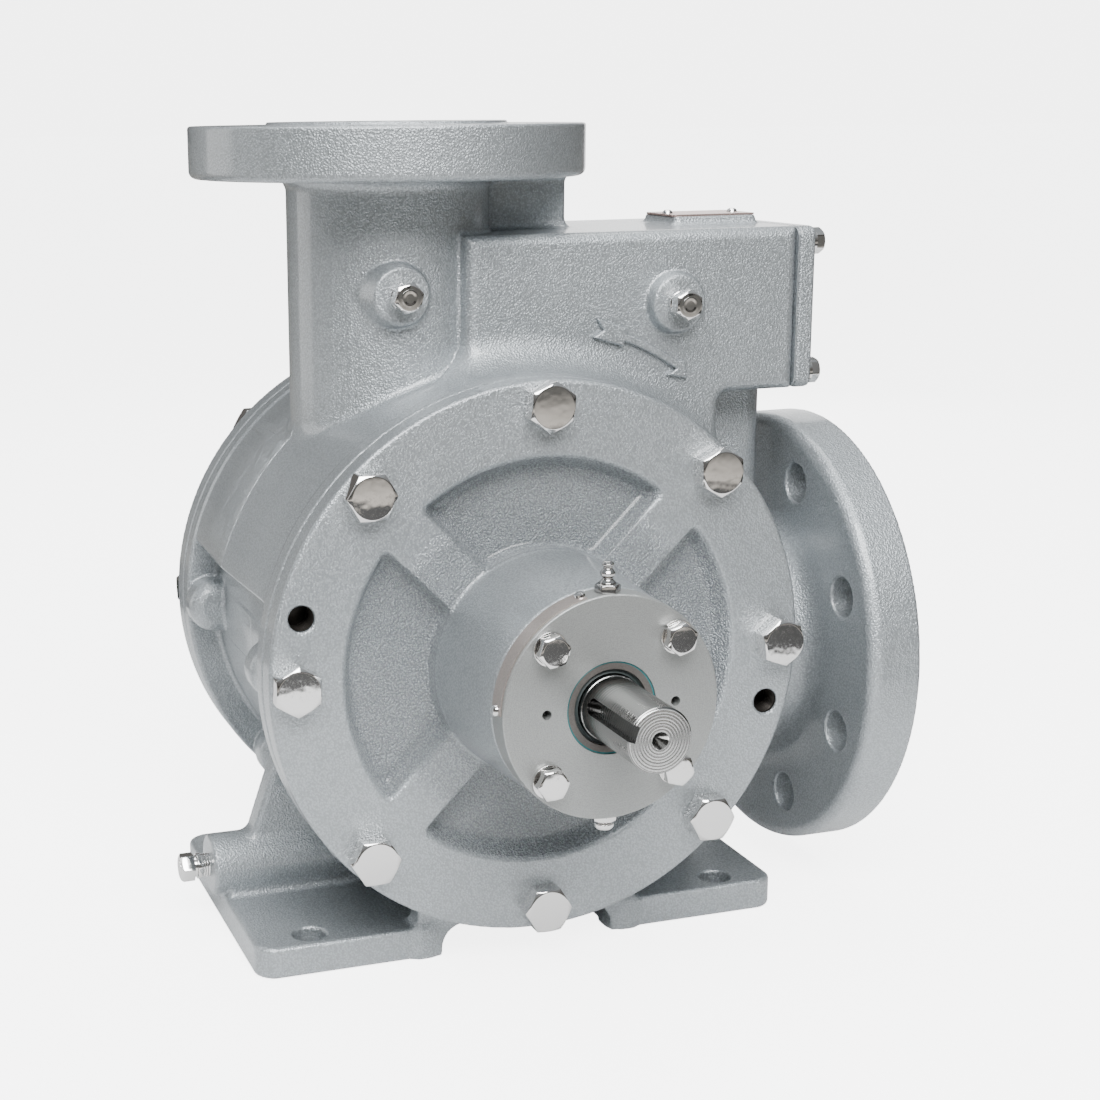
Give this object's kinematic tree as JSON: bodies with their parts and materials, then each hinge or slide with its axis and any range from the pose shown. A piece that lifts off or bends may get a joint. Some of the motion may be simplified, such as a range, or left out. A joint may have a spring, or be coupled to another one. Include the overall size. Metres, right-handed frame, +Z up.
{
  "type": "sliding vane pump",
  "caption": "Flange-ported sliding vane pump with a cast case on two feet, bolted ribbed heads, a keyed shaft and an internal spring-loaded relief valve.",
  "frame": {"origin": "middle of the four foot holes on the underside of the feet, straight below the shaft axis", "axes": "+Z up through the outlet flange, -Y along the shaft towards the drive end, +X towards the inlet flange"},
  "size_m": [0.3864, 0.4441, 0.436],
  "materials": {
    "painted_casting": "satin silver-grey enamel over ductile iron",
    "bright_plated_steel": "polished nickel plate",
    "machined_iron": "machined, clear coated",
    "ground_steel": "ground and oiled",
    "spring_steel": "dark oiled wire",
    "black_rubber": "matt",
    "gasket_board": "matt fibre board",
    "carbon_composite": "ground carbon-filled composite",
    "bare_plate": "bare etched plate"
  },
  "bodies": {
    "pump_body": {"case": "painted_casting", "front_head": "painted_casting", "rear_head": "painted_casting", "front_head_bolts": "bright_plated_steel", "rear_head_bolts": "bright_plated_steel", "front_bearing_cap": "machined_iron", "rear_bearing_cap": "machined_iron", "front_cap_bolts": "bright_plated_steel", "rear_cap_bolts": "bright_plated_steel", "front_cap_washers": "bright_plated_steel", "rear_cap_washers": "bright_plated_steel", "head_o_rings": "black_rubber", "lip_seal": "black_rubber", "grease_fittings": "bright_plated_steel", "relief_fittings": "bright_plated_steel", "rim_strip": "bare_plate", "rim_strip_screws": "bright_plated_steel", "name_plate": "bare_plate", "name_plate_screws": "bright_plated_steel", "chest_cover": "painted_casting", "cover_gasket": "gasket_board", "cover_bolts": "bright_plated_steel", "cover_washers": "bright_plated_steel", "valve_spring": "spring_steel", "spring_guide": "ground_steel", "gauge_plugs": "bright_plated_steel", "drain_plug": "bright_plated_steel", "cam_liner": "machined_iron", "liner_pins": "ground_steel", "front_side_plate": "machined_iron", "rear_side_plate": "machined_iron", "front_seal_seat": "carbon_composite", "rear_seal_seat": "carbon_composite", "front_bearing_outer": "ground_steel", "rear_bearing_outer": "ground_steel"},
    "rotor_assembly": {"shaft": "ground_steel", "rotor": "machined_iron", "rotor_keys": "ground_steel", "lock_nuts": "ground_steel", "front_seal_ring": "ground_steel", "rear_seal_ring": "ground_steel", "front_bearing_inner": "ground_steel", "rear_bearing_inner": "ground_steel"},
    "front_cage": {"front_rollers": "ground_steel"},
    "rear_cage": {"rear_rollers": "ground_steel"},
    "relief_poppet": {"valve_poppet": "ground_steel"},
    "vane_1": {"vane_1": "carbon_composite"},
    "vane_2": {"vane_2": "carbon_composite"},
    "vane_3": {"vane_3": "carbon_composite"},
    "vane_4": {"vane_4": "carbon_composite"},
    "vane_5": {"vane_5": "carbon_composite"},
    "vane_6": {"vane_6": "carbon_composite"}
  },
  "joints": [
    {"name": "rotor_spin", "type": "hinge", "parent": "pump_body", "child": "rotor_assembly", "pos_m": [0, 0, 0.164], "axis": [0, 1, 0], "continuous": true},
    {"name": "front_cage_spin", "type": "hinge", "parent": "pump_body", "child": "front_cage", "pos_m": [0, -0.1625, 0.164], "axis": [0, 1, 0], "continuous": true},
    {"name": "rear_cage_spin", "type": "hinge", "parent": "pump_body", "child": "rear_cage", "pos_m": [0, 0.1625, 0.164], "axis": [0, 1, 0], "continuous": true},
    {"name": "relief_lift", "type": "slide", "parent": "pump_body", "child": "relief_poppet", "axis": [1, 0, 0], "range_m": [0, 0.01], "stiffness_N_per_m": 25000, "springref_m": -0.02, "deforming": ["valve_spring"]},
    {"name": "vane_1_slide", "type": "slide", "parent": "rotor_assembly", "child": "vane_1", "axis": [1, 0, 0], "range_m": [-0.016, 0]},
    {"name": "vane_2_slide", "type": "slide", "parent": "rotor_assembly", "child": "vane_2", "axis": [0.5, 0, 0.866], "range_m": [-0.016, 0]},
    {"name": "vane_3_slide", "type": "slide", "parent": "rotor_assembly", "child": "vane_3", "axis": [-0.5, 0, 0.866], "range_m": [-0.016, 0]},
    {"name": "vane_4_slide", "type": "slide", "parent": "rotor_assembly", "child": "vane_4", "axis": [-1, 0, 0], "range_m": [-0.016, 0]},
    {"name": "vane_5_slide", "type": "slide", "parent": "rotor_assembly", "child": "vane_5", "axis": [-0.5, 0, -0.866], "range_m": [-0.016, 0]},
    {"name": "vane_6_slide", "type": "slide", "parent": "rotor_assembly", "child": "vane_6", "axis": [0.5, 0, -0.866], "range_m": [-0.016, 0]}
  ],
  "couplings": [
    {"joint": "front_cage_spin", "follows": "rotor_spin", "ratio": 0.39655},
    {"joint": "rear_cage_spin", "follows": "rotor_spin", "ratio": 0.39655}
  ]
}
